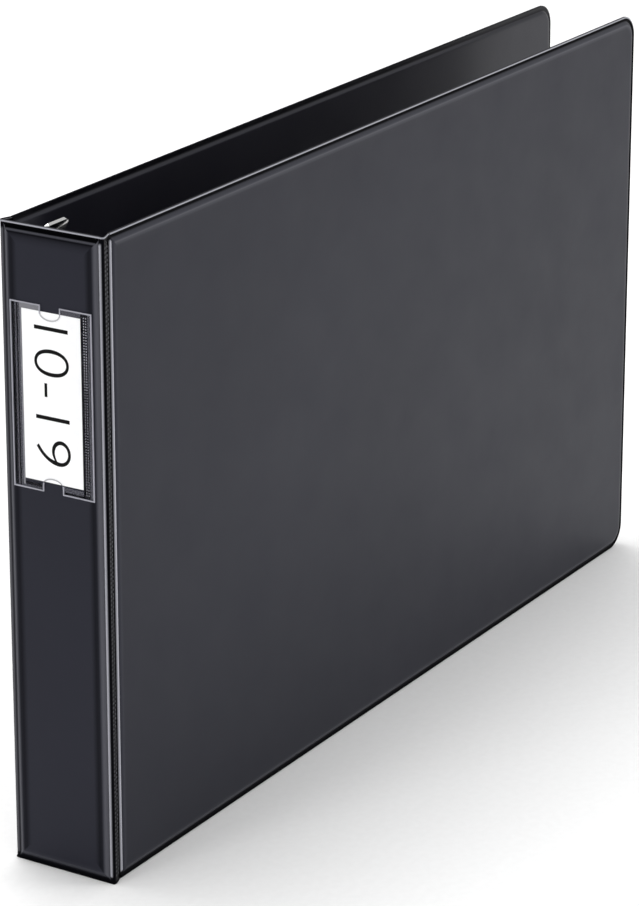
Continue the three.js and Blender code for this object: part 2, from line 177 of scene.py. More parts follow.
class Recipe:
    """One node material while it is put together."""

    def __init__(self, name: str) -> None:
        """Starts a material with a Principled shader and its output."""
        self.material = bpy.data.materials.new(name)
        self.material.use_nodes = True
        self.tree = self.material.node_tree
        self.tree.nodes.clear()
        self.output = self.tree.nodes.new("ShaderNodeOutputMaterial")
        self.shader = self.tree.nodes.new("ShaderNodeBsdfPrincipled")
        self.join(self.shader, "BSDF", self.output, "Surface")

    def add(self, kind: str, settings: dict[str, object] | None = None, **values: object) -> bpy.types.Node:
        """Adds a node.

        Args:
            kind: The node's type after "ShaderNode".
            settings: The node's own properties.
            **values: Its input values, with underscores for spaces in the names.

        Returns:
            The node.
        """
        node = self.tree.nodes.new("ShaderNode" + kind)
        for key, value in (settings or {}).items():
            setattr(node, key, value)
        for key, value in values.items():
            node.inputs[key.replace("_", " ")].default_value = value
        return node

    def join(self, source: bpy.types.Node, output: str, target: bpy.types.Node, socket: str | int) -> None:
        """Links one node's output to another's input."""
        self.tree.links.new(source.outputs[output], target.inputs[socket])

    def surface(self, **values: object) -> None:
        """Sets constant values on the Principled shader's own sockets."""
        for key, value in values.items():
            self.shader.inputs[key.replace("_", " ")].default_value = value

    def mottle(self, low: Sequence[float], high: Sequence[float], scale: float,
               source: bpy.types.Node) -> bpy.types.Node:
        """Varies the base colour between two tones with a soft noise.

        Args:
            low: The darker colour, linear RGB.
            high: The lighter colour, linear RGB.
            scale: The noise's scale, in cells to a metre.
            source: The node that gives the object's coordinates.

        Returns:
            The node that gives the colour.
        """
        noise = self.add("TexNoise", Scale=scale, Detail=3.0, Roughness=0.55)
        self.join(source, "Object", noise, "Vector")
        ramp = self.add("ValToRGB")
        ramp.color_ramp.elements[0].position = 0.35
        ramp.color_ramp.elements[0].color = (*low, 1.0)
        ramp.color_ramp.elements[1].position = 0.65
        ramp.color_ramp.elements[1].color = (*high, 1.0)
        self.join(noise, "Fac", ramp, "Fac")
        self.join(ramp, "Color", self.shader, "Base Color")
        return ramp

    def tone(self, colour: bpy.types.Node, painted_highlight: Sequence[float], specular: float) -> None:
        """Paints light and shade from a UV map: its u lightens the surface as painted highlight and its v
        darkens it as painted shade.

        The painted highlight draws the bright weld lines and crests, and the painted shade the dark grooves;
        the painted shade also lowers the specular level.

        Args:
            colour: The node that gives the plain colour.
            painted_highlight: The colour of a full painted highlight, linear RGB.
            specular: The specular level of a plain place.
        """
        held = self.add("UVMap", {"uv_map": "tone"})
        parts = self.add("SeparateXYZ")
        self.join(held, "UV", parts, "Vector")
        keep = self.add("Math", {"operation": "SUBTRACT"})
        keep.inputs[0].default_value = 1.0
        self.join(parts, "Y", keep, 1)
        dim = self.add("VectorMath", {"operation": "SCALE"})
        self.join(colour, "Color", dim, 0)
        self.join(keep, "Value", dim, "Scale")
        light = self.add("VectorMath", {"operation": "SCALE"})
        light.inputs[0].default_value = painted_highlight
        self.join(parts, "X", light, "Scale")
        both = self.add("VectorMath", {"operation": "ADD"})
        self.join(dim, "Vector", both, 0)
        self.join(light, "Vector", both, 1)
        self.join(both, "Vector", self.shader, "Base Color")
        level = self.add("Math", {"operation": "MULTIPLY"})
        level.inputs[1].default_value = specular
        self.join(keep, "Value", level, 0)
        self.join(level, "Value", self.shader, "Specular IOR Level")

    def scatter(self, low: float, high: float, scale: float, source: bpy.types.Node,
                output: str = "Object") -> None:
        """Varies the roughness between two values with a noise.

        Args:
            low: The lower roughness.
            high: The higher roughness.
            scale: The noise's scale, in cells to a metre.
            source: The node that gives the coordinates.
            output: The name of its output.
        """
        noise = self.add("TexNoise", Scale=scale, Detail=4.0, Roughness=0.6)
        self.join(source, output, noise, "Vector")
        span = self.add("MapRange", From_Min=0.3, From_Max=0.7, To_Min=low, To_Max=high)
        self.join(noise, "Fac", span, "Value")
        self.join(span, "Result", self.shader, "Roughness")

    def relief(self, height: bpy.types.Node, output: str, strength: float, depth: float,
               under: bpy.types.Node | None = None) -> bpy.types.Node:
        """Turns a height into a bump on the surface.

        Args:
            height: The node that gives the height.
            output: The name of its output.
            strength: How strongly the bump shows.
            depth: The relief's depth in metres.
            under: An earlier bump to add it to.

        Returns:
            The bump node, joined to the shader's normal.
        """
        bump = self.add("Bump", Strength=strength, Distance=depth)
        self.join(height, output, bump, "Height")
        if under is not None:
            self.join(under, "Normal", bump, "Normal")
        self.join(bump, "Normal", self.shader, "Normal")
        return bump


# The colour of a full painted highlight on the weld lines and crests, linear RGB
PAINTED_HIGHLIGHT = (0.66, 0.66, 0.72)
# The bluish tint of the vinyl's reflections
VINYL_TINT = (0.82, 0.84, 1.0, 1.0)


@dataclass(frozen=True)
class Vinyl:
    """Satin calendered vinyl with a very fine grain and a faint unevenness of the board under it."""

    name: str
    low: tuple[float, float, float]
    high: tuple[float, float, float]
    roughness: tuple[float, float]
    specular: float
    grain: float = 0.25

    def build(self) -> bpy.types.Material:
        """Returns the material."""
        recipe = Recipe(self.name)
        place = recipe.add("TexCoord")
        recipe.surface(Specular_Tint=VINYL_TINT)
        colour = recipe.mottle(self.low, self.high, scale=9.0, source=place)
        # Painted highlights and painted shade from the UV map that the panels and strips carry
        recipe.tone(colour, PAINTED_HIGHLIGHT, self.specular)
        recipe.scatter(*self.roughness, scale=35.0, source=place)
        waves = recipe.add("TexNoise", Scale=14.0, Detail=1.0, Roughness=0.4)
        recipe.join(place, "Object", waves, "Vector")
        soft = recipe.relief(waves, "Fac", strength=0.1, depth=0.6 * MM)
        pores = recipe.add("TexVoronoi", {"feature": "SMOOTH_F1"}, Scale=1900.0, Smoothness=0.6)
        recipe.join(place, "Object", pores, "Vector")
        recipe.relief(pores, "Distance", strength=self.grain, depth=0.05 * MM, under=soft)
        return recipe.material


@dataclass(frozen=True)
class ClearFilm:
    """Clear soft film, mostly see-through, with a faint haze."""

    name: str
    alpha: float
    tint: tuple[float, float, float]
    roughness: tuple[float, float]
    specular: float = 0.5
    spread: float = 1.15

    def build(self) -> bpy.types.Material:
        """Returns the material."""
        recipe = Recipe(self.name)
        place = recipe.add("TexCoord")
        recipe.surface(Alpha=self.alpha, Specular_IOR_Level=self.specular)
        pale = tuple(min(c * self.spread, 1.0) for c in self.tint)
        recipe.mottle(self.tint, pale, scale=90.0, source=place)
        recipe.scatter(*self.roughness, scale=160.0, source=place)
        waves = recipe.add("TexNoise", Scale=120.0, Detail=1.0, Roughness=0.4)
        recipe.join(place, "Object", waves, "Vector")
        recipe.relief(waves, "Fac", strength=0.15, depth=0.15 * MM)
        return recipe.material


@dataclass(frozen=True)
class Stock:
    """Paper or board: matt, with fibres."""

    name: str
    low: tuple[float, float, float]
    high: tuple[float, float, float]
    fibre: float
    specular: float = 0.3

    def build(self) -> bpy.types.Material:
        """Returns the material."""
        recipe = Recipe(self.name)
        place = recipe.add("TexCoord")
        recipe.surface(Specular_IOR_Level=self.specular)
        recipe.mottle(self.low, self.high, scale=260.0, source=place)
        recipe.scatter(low=0.6, high=0.8, scale=500.0, source=place)
        fibres = recipe.add("TexNoise", Scale=2600.0, Detail=3.0, Roughness=0.6)
        recipe.join(place, "Object", fibres, "Vector")
        recipe.relief(fibres, "Fac", strength=self.fibre, depth=0.05 * MM)
        return recipe.material


@dataclass(frozen=True)
class Plated:
    """Nickel plated or brushed steel. The brushing runs along one axis."""

    name: str
    low: tuple[float, float, float]
    high: tuple[float, float, float]
    roughness: tuple[float, float]
    brush: tuple[float, float, float] = (1.0, 1.0, 1.0)
    scratch: float = 0.05

    def build(self) -> bpy.types.Material:
        """Returns the material."""
        recipe = Recipe(self.name)
        place = recipe.add("TexCoord")
        recipe.surface(Metallic=1.0)
        stretch = recipe.add("Mapping")
        stretch.inputs["Scale"].default_value = self.brush
        recipe.join(place, "Object", stretch, "Vector")
        recipe.mottle(self.low, self.high, scale=40.0, source=place)
        recipe.scatter(*self.roughness, scale=300.0, source=stretch, output="Vector")
        lines = recipe.add("TexNoise", Scale=1500.0, Detail=3.0, Roughness=0.6)
        recipe.join(stretch, "Vector", lines, "Vector")
        recipe.relief(lines, "Fac", strength=self.scratch, depth=0.02 * MM)
        return recipe.material


class Finish(Enum):
    """Every finish of the binder and its studio."""

    SKIN = Vinyl(
        "satin_vinyl", low=(0.0078, 0.0082, 0.0138), high=(0.0094, 0.0098, 0.0162),
        roughness=(0.34, 0.42), specular=0.20,
    )
    LINER = Vinyl(
        "liner_vinyl", low=(0.0075, 0.0072, 0.0110), high=(0.0095, 0.0090, 0.0135),
        roughness=(0.30, 0.38), specular=0.28,
    )
    WELD = Vinyl(
        "welded_vinyl", low=(0.0080, 0.0085, 0.0140), high=(0.0110, 0.0115, 0.0180),
        roughness=(0.24, 0.32), specular=0.30,
    )
    FILM = ClearFilm("clear_film", 0.012, tint=(0.20, 0.20, 0.24), roughness=(0.10, 0.18), specular=0.3)
    FILM_EDGE = ClearFilm("film_edge", 0.85, tint=(0.34, 0.34, 0.39), roughness=(0.15, 0.25))
    # Grey and pale painted reflections and painted shade, laid in bands on the pocket's film
    FILM_GREY_REFLECTION = ClearFilm("film_grey_reflection", 0.45, tint=(0.12, 0.12, 0.145), roughness=(0.20, 0.30), specular=0.3)
    FILM_PALE_REFLECTION = ClearFilm("film_pale_reflection", 0.55, tint=(0.30, 0.30, 0.33), roughness=(0.20, 0.30))
    FILM_SHADE = ClearFilm(
        "film_shade", 0.85, tint=(0.006, 0.006, 0.009), roughness=(0.30, 0.40), specular=0.08,
    )
    CARD = Stock("card_stock", low=(0.93, 0.93, 0.94), high=(0.95, 0.95, 0.96), fibre=0.1)
    INK = Stock(
        "printed_ink", low=(0.004, 0.004, 0.004), high=(0.007, 0.007, 0.007), fibre=0.05, specular=0.06,
    )
    CHIPBOARD = Stock("grey_chipboard", low=(0.16, 0.15, 0.13), high=(0.26, 0.24, 0.21), fibre=0.5)
    CHROME = Plated(
        "nickel_plate", low=(0.58, 0.58, 0.575), high=(0.66, 0.66, 0.65), roughness=(0.06, 0.12),
    )
    WIRE = Plated("plated_wire", low=(0.72, 0.72, 0.71), high=(0.80, 0.80, 0.79), roughness=(0.08, 0.15))
    BRUSHED = Plated(
        "bright_steel", low=(0.55, 0.55, 0.54), high=(0.66, 0.66, 0.65), roughness=(0.20, 0.34),
        brush=(1.0, 1.0, 0.03), scratch=0.2,
    )
    FLOOR = Stock("pale_floor", low=(0.86, 0.86, 0.86), high=(0.88, 0.88, 0.88), fibre=0.0)


class Shelf:
    """Holds each material once it is built."""

    def __init__(self) -> None:
        """Starts empty."""
        self.built: dict[Finish, bpy.types.Material] = {}

    def get(self, finish: Finish) -> bpy.types.Material:
        """Returns the material of a finish, built at its first use."""
        if finish not in self.built:
            self.built[finish] = finish.value.build()
        return self.built[finish]


# Panels


# A painted highlight share and a painted shade share
PaintedLight = tuple[float, float]

# The painted highlight share and the painted shade share of the vinyl at the 18 steps of a panel's section,
# from the edge inwards: bright crests and shoulder lines are painted highlights, dark grooves, rims and
# bands are painted shade, and only the top side gets the bright crest
CREST_TONES: list[PaintedLight] = [
    (0.0, 0.5), (0.1, 0.3), (0.5, 0.0), (0.55, 0.0), (0.4, 0.0), (0.0, 0.9), (0.0, 0.95),
]
DARK_TONES: list[PaintedLight] = [(0.0, 0.9)] * 7
COVER_TOP = CREST_TONES + [
    (0.0, 0.9), (0.01, 0.3), (0.02, 0.0), (0.02, 0.0), (0.025, 0.0), (0.03, 0.0),
    (0.045, 0.0), (0.09, 0.0), (0.05, 0.0), (0.003, 0.0), (0.0, 0.0),
]
SPINE_TOP = CREST_TONES + [
    (0.0, 0.95), (0.0, 0.95), (0.0, 0.9), (0.05, 0.2), (0.06, 0.0), (0.03, 0.3),
    (0.0, 0.8), (0.0, 0.7), (0.0, 0.5), (0.0, 0.2), (0.0, 0.0),
]
PLAIN = DARK_TONES + [
    (0.0, 0.8), (0.0, 0.5), (0.01, 0.0), (0.02, 0.0), (0.02, 0.0), (0.02, 0.0),
    (0.03, 0.0), (0.035, 0.0), (0.01, 0.0), (0.0, 0.0), (0.0, 0.0),
]
COVER_HINGE = DARK_TONES + [
    (0.0, 0.5), (0.01, 0.2), (0.02, 0.0), (0.03, 0.0), (0.03, 0.0), (0.03, 0.0),
    (0.03, 0.0), (0.025, 0.0), (0.01, 0.0), (0.0, 0.0), (0.0, 0.0),
]
SPINE_HINGE = DARK_TONES + [
    (0.08, 0.0), (0.10, 0.0), (0.11, 0.0), (0.11, 0.0), (0.10, 0.0), (0.08, 0.0),
    (0.05, 0.0), (0.02, 0.2), (0.0, 0.5), (0.0, 0.6), (0.0, 0.0),
]
LINER_TONES: list[PaintedLight] = [(0.0, 0.6)] * 9 + [(0.0, 0.2)] * 3 + [(0.0, 0.0)] * 6

# The bead's steps: how far in from the edge in millimetres, and the share of the bead's height
BEAD_STEPS = ((0.10, 0.62), (0.28, 0.92), (0.50, 1.0), (0.72, 0.90), (0.90, 0.60), (1.05, 0.0))
# The shoulder's steps in millimetres: how far in from the edge, how far in from a hinge, and the rise
SHOULDER_STEPS = (
    (2.15, 1.10, 0.02), (2.55, 1.28, 0.14), (2.90, 1.48, 0.40), (3.20, 1.68, 0.68),
    (3.50, 1.92, 0.90), (3.80, 2.20, 1.04), (4.15, 2.50, 1.13), (4.55, 2.85, 1.18),
)
# The field's steps in millimetres: how far in from the edge and from a hinge
FIELD_STEPS = ((5.0, 3.3), (6.5, 4.4), (9.0, 6.4))
# Places closer than this many millimetres count as one
CLOSE = 1e-4


@dataclass(frozen=True)
class Step:
    """One line of a panel's section: how far in from the edge, and how high over the weld."""

    edge: float
    hinge: float
    edge_rise: float
    hinge_rise: float


@dataclass
class Panel:
    """A sheet of a panel: a flat field, a rounded shoulder and a welded rim. Sizes in millimetres."""

    width: float
    height: float
    fore_radius: float
    hinge_radius: float = 0.6
    least_radius: float = 0.25
    hinge_both: bool = False
    hinge_bead: float = 0.6
    spine_spread: float = 1.25
    sheet: float = 0.35
    rise: float = 1.55
    segments: int = 10
    # How far down the top side's painted highlights fade out, and how far in from the top edge they are full
    top_band: float = 9.0
    top_full: float = 0.3

    def sections(self, bead: float) -> list[Step]:
        """Returns the section from the rim's edge to the field.

        Args:
            bead: The height of the bead that the welding bar leaves along the edge, 0 for none.

        Returns:
            The steps, from the edge inwards.
        """
        low = self.sheet
        wide = self.spine_spread if self.hinge_both else 1.0
        steps = [Step(0.0, 0.0, low, low)]
        steps += [Step(inset, self.hinge_bead * inset, low + bead * share, low)
                  for inset, share in BEAD_STEPS]
        steps += [Step(inset, wide * hinge, low + up, low + up) for inset, hinge, up in SHOULDER_STEPS]
        steps += [Step(inset, wide * hinge, self.rise, self.rise) for inset, hinge in FIELD_STEPS]
        return steps

    def beside_hinge(self, step: Step, vert: bmesh.types.BMVert) -> bool:
        """Tells whether a point of a loop lies on a side that a hinge strip joins."""
        low, high = step.hinge, self.width - step.hinge
        near = min(abs(vert.co.x - low), abs(vert.co.x - high) if self.hinge_both else self.width)
        return near < CLOSE and abs(vert.co.y - self.height / 2) < self.height / 2 - step.edge - CLOSE

    def loop(self, bm: bmesh.types.BMesh, step: Step) -> list[bmesh.types.BMVert]:
        """Makes one rounded rectangle of the section.

        Args:
            bm: The mesh it goes into.
            step: Its place in the section.

        Returns:
            Its points in order, from the left end of its bottom side.
        """
        right = step.hinge if self.hinge_both else step.edge
        low, high = step.hinge, self.width - right
        top = self.height - step.edge
        corners = [bm.verts.new((x, y, step.edge_rise))
                   for x, y in ((low, step.edge), (high, step.edge), (high, top), (low, top))]
        before = set(bm.faces)
        bm.faces.new(corners)
        fore = [] if self.hinge_both else corners[1:3]
        near = [corner for corner in corners if corner not in fore]
        for group, radius in ((near, self.hinge_radius), (fore, self.fore_radius)):
            if group:
                bmesh.ops.bevel(
                    bm, geom=group, offset=max(radius - step.edge, self.least_radius), offset_type="OFFSET",
                    affect="VERTICES", segments=self.segments, profile=0.5, material=-1,
                )
        inside = next(face for face in bm.faces if face not in before)
        ring = [corner.vert for corner in inside.loops]
        bmesh.ops.delete(bm, geom=[inside], context="FACES_ONLY")
        for vert in ring:
            if self.beside_hinge(step, vert):
                vert.co.z = step.hinge_rise
        start = min(range(len(ring)), key=lambda i: (round(ring[i].co.y, 5), ring[i].co.x))
        return ring[start:] + ring[:start]

    def tone(self, index: int, step: Step, vert: bmesh.types.BMVert, lined: bool) -> PaintedLight:
        """Looks up the painted highlight and the painted shade at one point of the surface.

        Args:
            index: The step's place in the section.
            step: The step.
            vert: The point.
            lined: True for the inner sheet, which gets painted shade near its edge and no painted
                highlights.

        Returns:
            The painted highlight share and the painted shade share.
        """
        if lined:
            return LINER_TONES[index]
        if self.beside_hinge(step, vert):
            return (SPINE_HINGE if self.hinge_both else COVER_HINGE)[index]
        # The top side gets the crest's painted highlights, which fade into the other sides' painted shade
        # over top_band millimetres
        high = (SPINE_TOP if self.hinge_both else COVER_TOP)[index]
        share = smoothstep(self.height - self.top_band, self.height - step.edge - self.top_full, vert.co.y)
        return tuple(share * a + (1 - share) * b for a, b in zip(high, PLAIN[index]))

    def sheet_mesh(self, bead: float, lined: bool) -> bmesh.types.BMesh:
        """Makes the formed sheet, whose thickness is added later.

        Args:
            bead: The height of the bead along the edge.
            lined: True for the inner sheet.

        Returns:
            The sheet in millimetres, with x away from the hinge, y up and z out.
        """
        bm = bmesh.new()
        layer = bm.loops.layers.uv.new("tone")
        steps = self.sections(bead)
        loops = [self.loop(bm, step) for step in steps]
        for outer, inner in zip(loops, loops[1:]):
            for i, vert in enumerate(outer):
                bm.faces.new((outer[i - 1], vert, inner[i], inner[i - 1]))
        bm.faces.new(loops[-1])
        bm.normal_update()
        # Painted highlight and painted shade go into the UV map
        painted_lights = {vert: self.tone(index, step, vert, lined)
                 for index, (step, ring) in enumerate(zip(steps, loops)) for vert in ring}
        for face in bm.faces:
            for corner in face.loops:
                corner[layer].uv = painted_lights[corner.vert]
        return bm


@dataclass
class PanelSet:
    """The three panels of the binder, each with a skin outside and a liner inside. In millimetres."""

    shelf: Shelf
    skin_bead: float = 0.42
    liner_bead: float = 0.08
    cover_radius: float = 12.0
    wall_gap: float = 0.02

    def layers(self, side: int) -> list[tuple[str, int, float, Finish, str]]:
        """Returns each layer's name, the way it faces, its bead, its finish and its material slot."""
        return [
            ("skin", side, self.skin_bead, Finish.SKIN, "vinyl_skin"),
            ("liner", -side, self.liner_bead, Finish.LINER, "vinyl_liner"),
        ]

    def sheet(self, panel: Panel, node: str, body: str, place: Matrix, bead: float, finish: Finish,
              slot: str) -> None:
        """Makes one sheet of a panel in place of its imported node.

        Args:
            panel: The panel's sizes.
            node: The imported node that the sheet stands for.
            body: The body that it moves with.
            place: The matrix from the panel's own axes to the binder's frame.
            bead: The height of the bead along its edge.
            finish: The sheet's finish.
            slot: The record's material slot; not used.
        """
        bm = panel.sheet_mesh(bead, finish is Finish.LINER)
        placed(bm, place @ Matrix.Scale(MM, 4))
        piece = finished(node + "_sheet", bm, [self.shelf.get(finish)], sharp=60.0)
        wall = piece.modifiers.new("wall", "SOLIDIFY")
        wall.thickness = (panel.sheet - self.wall_gap) * MM
        wall.offset = -1.0
        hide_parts(node)
        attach(piece, body)

    def build(self) -> None:
        """Makes the skins and liners of both covers and of the spine."""
        for body, side in (("front_cover", -1), ("back_cover", 1)):
            low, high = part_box(body + "_skin")
            weld = high.y if side < 0 else low.y
            panel = Panel((high.x - low.x) / MM, (high.z - low.z) / MM, self.cover_radius)
            for layer, out, bead, finish, slot in self.layers(side):
                place = Matrix(((1, 0, 0, low.x), (0, 0, out, weld), (0, 1, 0, low.z), (0, 0, 0, 1)))
                self.sheet(panel, f"{body}_{layer}", body, place, bead, finish, slot)
        low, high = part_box("spine_skin")
        panel = Panel((high.y - low.y) / MM, (high.z - low.z) / MM, self.cover_radius, hinge_both=True)
        for layer, out, bead, finish, slot in self.layers(-1):
            place = Matrix(((0, 0, out, high.x), (1, 0, 0, low.y), (0, 1, 0, low.z), (0, 0, 0, 1)))
            self.sheet(panel, f"spine_{layer}", "spine", place, bead, finish, slot)


# Hinges


@dataclass
class HingeStrip:
    """The two vinyl sheets welded together between the spine and a cover. Sizes in millimetres.

    A ridge runs along either side, and a knurled band between the two.
    """

    shelf: Shelf
    side: int
    pitch: float = 2.0
    rows_each: int = 6
    columns: int = 40
    thickness: float = 0.6
    rim: float = 0.35
    ridge_rise: float = 0.62
    knurl_rise: float = 0.22
    bead_rise: float = 0.42
    end_rim: float = 3.4
    near_ridge: float = 1.1
    near_width: float = 1.3
    far_ridge: float = 0.95
    far_width: float = 1.5
    far_shine: float = 1.6
    middle: float = -0.625
    bend_start: tuple[float, float] = (-243.6, 26.1)
    bend_end: tuple[float, float] = (-237.4, 24.9)

    def plan(self) -> list[tuple[float, float]]:
        """Returns the outer face's points in plan, from the spine's rim to the front cover's."""
        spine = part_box("spine_skin")
        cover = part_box("front_cover_skin")
        spine_face = spine[1].x / MM - self.rim
        cover_face = cover[1].y / MM - self.rim
        spine_edge = spine[0].y / MM
        cover_edge = cover[0].x / MM
        return [
            (spine_face, spine_edge + 1.25), (spine_face, spine_edge + 0.1),
            (spine_face - 0.05, spine_edge - 0.5), (spine_face + 0.15, spine_edge - 1.0),
            (spine_face + 0.7, spine_edge - 1.28), (spine_face + 2.0, spine_edge - 1.05),
            (cover_edge - 2.5, cover_face - 0.62), (cover_edge - 1.7, cover_face - 0.30),
            (cover_edge - 0.9, cover_face - 0.02), (cover_edge, cover_face), (cover_edge + 1.6, cover_face),
        ]

    def walk(self, share: float) -> tuple[Vector, Vector, float]:
        """Follows the plan.

        Args:
            share: How far along, from 0 to 1.

        Returns:
            The point, the direction out of the strip there, and the length from the start.
        """
        points = [Vector((*p, 0.0)) for p in self.plan()]
        lengths = [(b - a).length for a, b in zip(points, points[1:])]
        target = share * sum(lengths)
        index, gone = 0, 0.0
        while index < len(lengths) - 1 and gone + lengths[index] < target:
            gone += lengths[index]
            index += 1
        t = (target - gone) / lengths[index]
        a, b = points[index], points[index + 1]
        tangent_a = (b - points[max(index - 1, 0)]) * 0.5
        tangent_b = (points[min(index + 2, len(points) - 1)] - a) * 0.5
        point = ((2 * t**3 - 3 * t**2 + 1) * a + (t**3 - 2 * t**2 + t) * tangent_a
                 + (-2 * t**3 + 3 * t**2) * b + (t**3 - t**2) * tangent_b)
        slope = ((6 * t**2 - 6 * t) * a + (3 * t**2 - 4 * t + 1) * tangent_a
                 + (-6 * t**2 + 6 * t) * b + (3 * t**2 - 2 * t) * tangent_b).normalized()
        return point, Vector((slope.y, -slope.x, 0.0)), target

    def relief(self, along: float, total: float, level: float, height: float) -> float:
        """Works out how far the face stands out from the plan.

        Args:
            along: The length from the spine's rim.
            total: The strip's whole width.
            level: The height over the bottom edge.
            height: The binder's height.

        Returns:
            The relief in millimetres.
        """
        end = min(level, height - level)
        inside = smoothstep(self.end_rim - 0.9, self.end_rim + 0.5, end)
        near = ridge(self.near_ridge, self.near_width, along)
        far = ridge(total - self.far_ridge, self.far_width, along)
        knurl = 0.25 * self.band(along) + self.teeth(along, level)
        bead = ridge(0.5, 0.9, end) * smoothstep(0.0, 0.3, along) * self.short_of_cover(along, total)
        return inside * (self.ridge_rise * (near + far) + self.knurl_rise * knurl) + self.bead_rise * bead

    def short_of_cover(self, along: float, total: float) -> float:
        """Returns 1 where the strip is free of the cover's rim and 0 where it lies on it."""
        return 1 - smoothstep(total - 1.9, total - 1.5, along)

    def band(self, along: float) -> float:
        """Returns 1 inside the knurled band and 0 outside it."""
        return smoothstep(2.6, 2.9, along) * (1 - smoothstep(7.0, 7.3, along))

    def teeth(self, along: float, level: float) -> float:
        """Returns the height of the knurled band's teeth, from 0 to 1."""
        tooth = smoothstep(0.25, 0.75, 0.5 + 0.5 * math.cos(2 * math.pi * level / self.pitch))
        return tooth * (0.55 * ridge(3.8, 1.3, along) + 0.9 * ridge(6.2, 1.1, along))

    def tone(self, along: float, total: float, level: float, height: float) -> PaintedLight:
        """Works out the strip's painted highlight and painted shade at one point.

        Args:
            along: The length from the spine's rim.
            total: The strip's whole width.
            level: The height over the bottom edge.
            height: The binder's height.

        Returns:
            The painted highlight share and the painted shade share.
        """
        end = min(level, height - level)
        inside = smoothstep(self.end_rim - 0.6, self.end_rim + 0.6, end)
        # The front hinge's near ridge gets a brighter painted highlight than the back hinge's
        shine = 0.52 if self.side < 0 else 0.12
        near = shine * ridge(self.near_ridge, self.near_width, along)
        far = 0.62 * ridge(total - self.far_ridge, self.far_shine, along)
        # A painted highlight along the top end only, where light falls
        crest = 0.55 * ridge(0.5, 0.6, height - level) * self.short_of_cover(along, total)
        light = max(inside * (near + far + 0.14 * self.teeth(along, level)), crest)
        # Painted shade darkens the whole strip, more past 7 mm from the spine's rim and at its ends; painted
        # highlights lift it
        dark = 0.90 + 0.06 * smoothstep(7.0, 7.4, along)
        dark = max(dark, 0.9 * (1 - inside)) * (1 - min(3 * light, 1.0))
        return light, dark

    def build(self) -> None:
        """Makes the strip, bent between the spine and its cover."""
        node = "front_hinge_strip" if self.side < 0 else "back_hinge_strip"
        low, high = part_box(node)
        height = (high.z - low.z) / MM
        rows = int(height / self.pitch * self.rows_each)
        bm = bmesh.new()
        uv = bm.loops.layers.uv.new("tone")
        bmesh.ops.create_grid(bm, x_segments=self.columns, y_segments=rows, size=0.5)
        walked = [self.walk(i / self.columns) for i in range(self.columns + 1)]
        total = walked[-1][2]
        painted_lights: list[PaintedLight] = []
        for vert in bm.verts:
            column = round((vert.co.x + 0.5) * self.columns)
            level = (vert.co.y + 0.5) * height
            point, out, along = walked[column]
            place = point + out * self.relief(along, total, level, height)
            vert.co = Vector((place.x, place.y, level))
            painted_lights.append(self.tone(along, total, level, height))
        bm.verts.index_update()
        # The painted highlight and painted shade go into the UV map
        for face in bm.faces:
            for loop in face.loops:
                loop[uv].uv = painted_lights[loop.vert.index]
        bmesh.ops.recalc_face_normals(bm, faces=bm.faces)
        faces = list(bm.faces)
        if sum(f.normal.y * f.calc_area() for f in faces) > 0:
            bmesh.ops.reverse_faces(bm, faces=faces)
        bmesh.ops.solidify(bm, geom=faces, thickness=self.thickness)
        if self.side > 0:
            spine_low, spine_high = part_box("spine_skin")
            across = (spine_low.y + spine_high.y) / MM
            placed(bm, Matrix.Translation((0, across, 0)) @ Matrix.Diagonal((1, -1, 1, 1)))
        placed(bm, Matrix.Scale(MM, 4))
        piece = finished(node + "_sheet", bm, [self.shelf.get(Finish.WELD)], sharp=60.0)
        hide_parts(node)
        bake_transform(piece)


# Label


FILM_FINISHES = [Finish.FILM, Finish.FILM_EDGE, Finish.FILM_GREY_REFLECTION, Finish.FILM_PALE_REFLECTION, Finish.FILM_SHADE]

# The bands of painted shade and painted reflection on the pocket's film beside the card: left, bottom,
# right, top, how far out in millimetres, and finish
BANDS: list[tuple[float, float, float, float, float, Finish]] = [
    (0.7, 0.7, 2.1, 83.3, 0.08, Finish.FILM_SHADE),
    (2.1, 0.7, 3.0, 83.3, 0.08, Finish.FILM_GREY_REFLECTION),
    (3.0, 0.7, 3.7, 83.3, 0.08, Finish.FILM_SHADE),
    (3.7, 0.7, 4.7, 83.3, 0.08, Finish.FILM_GREY_REFLECTION),
    (4.8, 1.5, 5.8, 81.1, 0.10, Finish.FILM_PALE_REFLECTION),
    (36.4, 0.7, 37.3, 83.3, 0.08, Finish.FILM_SHADE),
    (37.3, 0.7, 39.8, 83.3, 0.08, Finish.FILM_SHADE),
    (39.8, 0.7, 41.6, 83.3, 0.08, Finish.FILM_GREY_REFLECTION),
    (4.8, 81.2, 15.2, 83.3, 0.30, Finish.FILM_PALE_REFLECTION),
    (26.2, 81.2, 36.3, 83.3, 0.30, Finish.FILM_GREY_REFLECTION),
    (4.8, 0.7, 15.2, 1.5, 0.08, Finish.FILM_GREY_REFLECTION),
    (4.8, 1.5, 15.2, 3.0, 0.08, Finish.FILM_SHADE),
    (26.2, 0.7, 36.3, 1.5, 0.08, Finish.FILM_SHADE),
    (26.2, 1.5, 36.3, 3.6, 0.08, Finish.FILM_GREY_REFLECTION),
]


